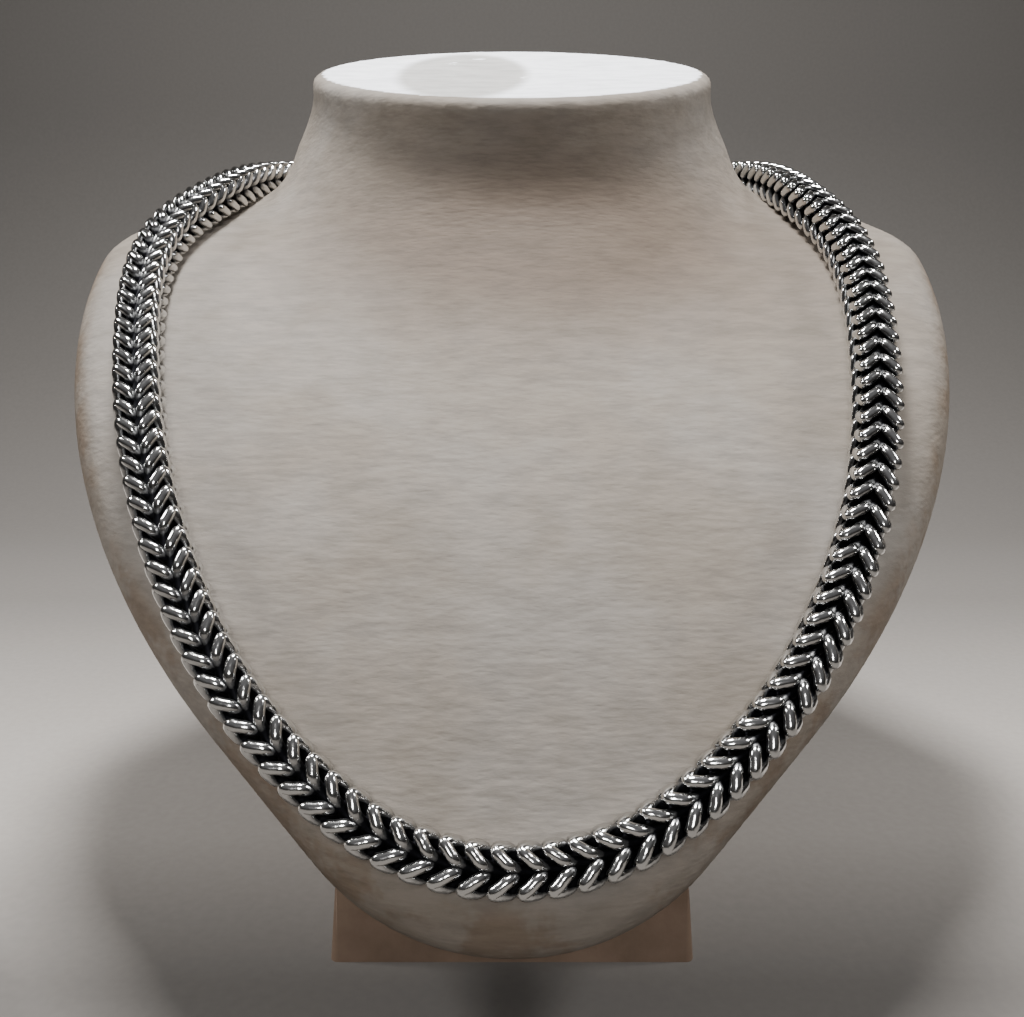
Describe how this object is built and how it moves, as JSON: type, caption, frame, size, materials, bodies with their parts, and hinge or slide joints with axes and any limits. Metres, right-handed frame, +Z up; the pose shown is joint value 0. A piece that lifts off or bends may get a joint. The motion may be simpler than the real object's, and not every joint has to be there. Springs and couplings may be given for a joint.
{
  "type": "foxtail chain necklace on a neck bust",
  "caption": "Heavy square foxtail chain of interlocked round-wire links, lying round the neck and over the chest of a leatherette-covered display bust with a block foot.",
  "frame": {"origin": "bottom centre of the bounding box, on the table", "axes": "+Z up; -Y is the bust's front, which shows the chain; +X is the bust's left side, at the right of the picture"},
  "size_m": [0.1904, 0.2028, 0.1853],
  "materials": {
    "oxidised_silver": "polished silver with blackened recesses",
    "plain_silver": "polished silver",
    "leatherette": "ivory leatherette with a fine pebble grain",
    "foot_cover": "matt covered board"
  },
  "bodies": {
    "root": {"foxtail_chain": "oxidised_silver", "clasp": "plain_silver", "neck_bust": "leatherette", "bust_foot": "foot_cover"}
  },
  "joints": []
}
